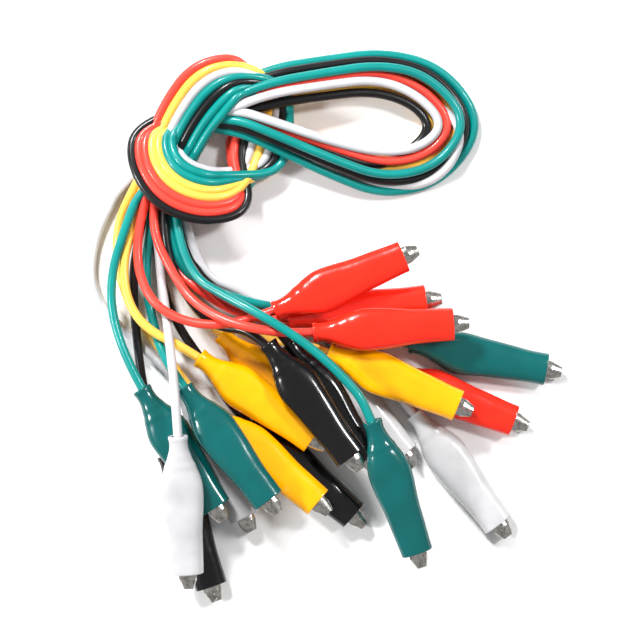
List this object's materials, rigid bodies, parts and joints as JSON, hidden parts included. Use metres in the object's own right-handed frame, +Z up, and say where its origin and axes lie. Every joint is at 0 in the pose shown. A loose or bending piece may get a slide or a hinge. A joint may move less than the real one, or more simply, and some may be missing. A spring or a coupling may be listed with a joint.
{
  "type": "alligator clip test lead set",
  "caption": "Two-ended test leads with sprung toothed clips in soft boots, folded together and tied in one overhand knot with a loop.",
  "frame": {"origin": "middle of the clips' box in plan, on the surface the set lies on, measured without the cables and their knot", "axes": "+X to the right along the long way of the spread of clips, +Y towards the knot and loop, +Z up from the surface"},
  "size_m": [0.1102, 0.1284, 0.0177],
  "materials": {
    "red_boot": "soft glossy moulded vinyl",
    "red_cable": "smooth vinyl jacket, slightly glossy",
    "yellow_boot": "soft glossy moulded vinyl",
    "yellow_cable": "smooth vinyl jacket, slightly glossy",
    "white_boot": "soft glossy moulded vinyl",
    "white_cable": "smooth vinyl jacket, slightly glossy",
    "teal_boot": "soft glossy moulded vinyl",
    "teal_cable": "smooth vinyl jacket, slightly glossy",
    "black_boot": "soft glossy moulded vinyl",
    "black_cable": "smooth vinyl jacket, slightly glossy",
    "nickel": "bright nickel-plated pressed steel",
    "spring_steel": "drawn spring wire",
    "copper": "bunched bare copper strands",
    "mixed_cable": null
  },
  "bodies": {
    "root": {"red_1a_boot": "red_boot", "red_1b_boot": "red_boot", "red_2a_boot": "red_boot", "red_2b_boot": "red_boot", "yellow_1a_boot": "yellow_boot", "yellow_1b_boot": "yellow_boot", "yellow_2a_boot": "yellow_boot", "yellow_2b_boot": "yellow_boot", "white_1a_boot": "white_boot", "white_1b_boot": "white_boot", "white_2a_boot": "white_boot", "white_2b_boot": "white_boot", "teal_1a_boot": "teal_boot", "teal_1b_boot": "teal_boot", "teal_2a_boot": "teal_boot", "teal_2b_boot": "teal_boot", "black_1a_boot": "black_boot", "black_1b_boot": "black_boot", "black_2a_boot": "black_boot", "black_2b_boot": "black_boot", "red_1_cable": "red_cable", "red_2_cable": "red_cable", "yellow_1_cable": "yellow_cable", "yellow_2_cable": "yellow_cable", "white_1_cable": "white_cable", "white_2_cable": "white_cable", "teal_1_cable": "teal_cable", "teal_2_cable": "teal_cable", "black_1_cable": "black_cable", "black_2_cable": "black_cable", "red_fixed_jaws": "nickel", "yellow_fixed_jaws": "nickel", "white_fixed_jaws": "nickel", "teal_fixed_jaws": "nickel", "black_fixed_jaws": "nickel", "pivot_rivets": "nickel", "torsion_springs": "spring_steel", "stripped_conductors": "copper", "knotted_loop": "mixed_cable"},
    "red_1a_jaw": {"red_1a_moving_jaw": "nickel"},
    "red_1b_jaw": {"red_1b_moving_jaw": "nickel"},
    "red_2a_jaw": {"red_2a_moving_jaw": "nickel"},
    "red_2b_jaw": {"red_2b_moving_jaw": "nickel"},
    "yellow_1a_jaw": {"yellow_1a_moving_jaw": "nickel"},
    "yellow_1b_jaw": {"yellow_1b_moving_jaw": "nickel"},
    "yellow_2a_jaw": {"yellow_2a_moving_jaw": "nickel"},
    "yellow_2b_jaw": {"yellow_2b_moving_jaw": "nickel"},
    "white_1a_jaw": {"white_1a_moving_jaw": "nickel"},
    "white_1b_jaw": {"white_1b_moving_jaw": "nickel"},
    "white_2a_jaw": {"white_2a_moving_jaw": "nickel"},
    "white_2b_jaw": {"white_2b_moving_jaw": "nickel"},
    "teal_1a_jaw": {"teal_1a_moving_jaw": "nickel"},
    "teal_1b_jaw": {"teal_1b_moving_jaw": "nickel"},
    "teal_2a_jaw": {"teal_2a_moving_jaw": "nickel"},
    "teal_2b_jaw": {"teal_2b_moving_jaw": "nickel"},
    "black_1a_jaw": {"black_1a_moving_jaw": "nickel"},
    "black_1b_jaw": {"black_1b_moving_jaw": "nickel"},
    "black_2a_jaw": {"black_2a_moving_jaw": "nickel"},
    "black_2b_jaw": {"black_2b_moving_jaw": "nickel"}
  },
  "joints": [
    {"name": "red_1a_pivot", "type": "hinge", "parent": "root", "child": "red_1a_jaw", "pos_m": [0.00035, 0.03319, 0.01149], "axis": [0.0229, 0.0097, 0.9997], "range_deg": [0, 18], "stiffness_Nm_per_rad": 0.01, "springref_deg": -57.3, "deforming": ["red_1a_boot", "torsion_springs"]},
    {"name": "red_1b_pivot", "type": "hinge", "parent": "root", "child": "red_1b_jaw", "pos_m": [0.00479, 0.02641, 0.00646], "axis": [0, 0, -1], "range_deg": [0, 18], "stiffness_Nm_per_rad": 0.01, "springref_deg": -57.3, "deforming": ["red_1b_boot", "torsion_springs"]},
    {"name": "red_2a_pivot", "type": "hinge", "parent": "root", "child": "red_2a_jaw", "pos_m": [0.01072, 0.02204, 0.01169], "axis": [-0.0194, -0.0012, -0.9998], "range_deg": [0, 18], "stiffness_Nm_per_rad": 0.01, "springref_deg": -57.3, "deforming": ["red_2a_boot", "torsion_springs"]},
    {"name": "red_2b_pivot", "type": "hinge", "parent": "root", "child": "red_2b_jaw", "pos_m": [0.02593, 0.00505, 0.00309], "axis": [0.0155, -0.0059, 0.9999], "range_deg": [0, 18], "stiffness_Nm_per_rad": 0.01, "springref_deg": -57.3, "deforming": ["red_2b_boot", "torsion_springs"]},
    {"name": "yellow_1a_pivot", "type": "hinge", "parent": "root", "child": "yellow_1a_jaw", "pos_m": [-0.01893, 0.0042, 0.00786], "axis": [0, 0, -1], "range_deg": [0, 18], "stiffness_Nm_per_rad": 0.01, "springref_deg": -57.3, "deforming": ["yellow_1a_boot", "torsion_springs"]},
    {"name": "yellow_1b_pivot", "type": "hinge", "parent": "root", "child": "yellow_1b_jaw", "pos_m": [-0.01715, -0.00957, 0.00797], "axis": [0.0407, -0.0344, -0.9986], "range_deg": [0, 18], "stiffness_Nm_per_rad": 0.01, "springref_deg": -57.3, "deforming": ["yellow_1b_boot", "torsion_springs"]},
    {"name": "yellow_2a_pivot", "type": "hinge", "parent": "root", "child": "yellow_2a_jaw", "pos_m": [0.0129, 0.00912, 0.00831], "axis": [0.0412, -0.0171, -0.999], "range_deg": [0, 18], "stiffness_Nm_per_rad": 0.01, "springref_deg": -57.3, "deforming": ["yellow_2a_boot", "torsion_springs"]},
    {"name": "yellow_2b_pivot", "type": "hinge", "parent": "root", "child": "yellow_2b_jaw", "pos_m": [-0.016, 0.00726, 0.00256], "axis": [0, 0, 1], "range_deg": [0, 18], "stiffness_Nm_per_rad": 0.01, "springref_deg": -57.3, "deforming": ["yellow_2b_boot", "torsion_springs"]},
    {"name": "white_1a_pivot", "type": "hinge", "parent": "root", "child": "white_1a_jaw", "pos_m": [-0.03769, -0.02119, 0.0124], "axis": [0.0109, -0.1763, 0.9843], "range_deg": [0, 18], "stiffness_Nm_per_rad": 0.01, "springref_deg": -57.3, "deforming": ["white_1a_boot", "torsion_springs"]},
    {"name": "white_1b_pivot", "type": "hinge", "parent": "root", "child": "white_1b_jaw", "pos_m": [-0.02977, -0.01008, 0.00256], "axis": [0, 0, -1], "range_deg": [0, 18], "stiffness_Nm_per_rad": 0.01, "springref_deg": -57.3, "deforming": ["white_1b_boot", "torsion_springs"]},
    {"name": "white_2a_pivot", "type": "hinge", "parent": "root", "child": "white_2a_jaw", "pos_m": [0.0268, -0.01302, 0.00256], "axis": [0, 0, 1], "range_deg": [0, 18], "stiffness_Nm_per_rad": 0.01, "springref_deg": -57.3, "deforming": ["white_2a_boot", "torsion_springs"]},
    {"name": "white_2b_pivot", "type": "hinge", "parent": "root", "child": "white_2b_jaw", "pos_m": [0.00432, 0.00253, 0.00256], "axis": [0, 0, -1], "range_deg": [0, 18], "stiffness_Nm_per_rad": 0.01, "springref_deg": -57.3, "deforming": ["white_2b_boot", "torsion_springs"]},
    {"name": "teal_1a_pivot", "type": "hinge", "parent": "root", "child": "teal_1a_jaw", "pos_m": [-0.03755, -0.00812, 0.00786], "axis": [0, 0, 1], "range_deg": [0, 18], "stiffness_Nm_per_rad": 0.01, "springref_deg": -57.3, "deforming": ["teal_1a_boot", "torsion_springs"]},
    {"name": "teal_1b_pivot", "type": "hinge", "parent": "root", "child": "teal_1b_jaw", "pos_m": [-0.02618, -0.00683, 0.01276], "axis": [0.0381, -0.0502, -0.998], "range_deg": [0, 18], "stiffness_Nm_per_rad": 0.01, "springref_deg": -57.3, "deforming": ["teal_1b_boot", "torsion_springs"]},
    {"name": "teal_2a_pivot", "type": "hinge", "parent": "root", "child": "teal_2a_jaw", "pos_m": [0.01129, -0.01693, 0.01295], "axis": [0.0429, -0.1247, 0.9913], "range_deg": [0, 18], "stiffness_Nm_per_rad": 0.01, "springref_deg": -57.3, "deforming": ["teal_2a_boot", "torsion_springs"]},
    {"name": "teal_2b_pivot", "type": "hinge", "parent": "root", "child": "teal_2b_jaw", "pos_m": [0.03283, 0.01476, 0.00256], "axis": [0, 0, 1], "range_deg": [0, 18], "stiffness_Nm_per_rad": 0.01, "springref_deg": -57.3, "deforming": ["teal_2b_boot", "torsion_springs"]},
    {"name": "black_1a_pivot", "type": "hinge", "parent": "root", "child": "black_1a_jaw", "pos_m": [-0.03604, -0.02548, 0.00256], "axis": [0, 0, 1], "range_deg": [0, 18], "stiffness_Nm_per_rad": 0.01, "springref_deg": -57.3, "deforming": ["black_1a_boot", "torsion_springs"]},
    {"name": "black_1b_pivot", "type": "hinge", "parent": "root", "child": "black_1b_jaw", "pos_m": [-0.00883, -0.0129, 0.00256], "axis": [0, 0, -1], "range_deg": [0, 18], "stiffness_Nm_per_rad": 0.01, "springref_deg": -57.3, "deforming": ["black_1b_boot", "torsion_springs"]},
    {"name": "black_2a_pivot", "type": "hinge", "parent": "root", "child": "black_2a_jaw", "pos_m": [-0.00733, 0.00311, 0.01292], "axis": [0.005, -0.0067, -1], "range_deg": [0, 18], "stiffness_Nm_per_rad": 0.01, "springref_deg": -57.3, "deforming": ["black_2a_boot", "torsion_springs"]},
    {"name": "black_2b_pivot", "type": "hinge", "parent": "root", "child": "black_2b_jaw", "pos_m": [-0.00304, 0.00278, 0.00776], "axis": [0, 0, -1], "range_deg": [0, 18], "stiffness_Nm_per_rad": 0.01, "springref_deg": -57.3, "deforming": ["black_2b_boot", "torsion_springs"]}
  ]
}
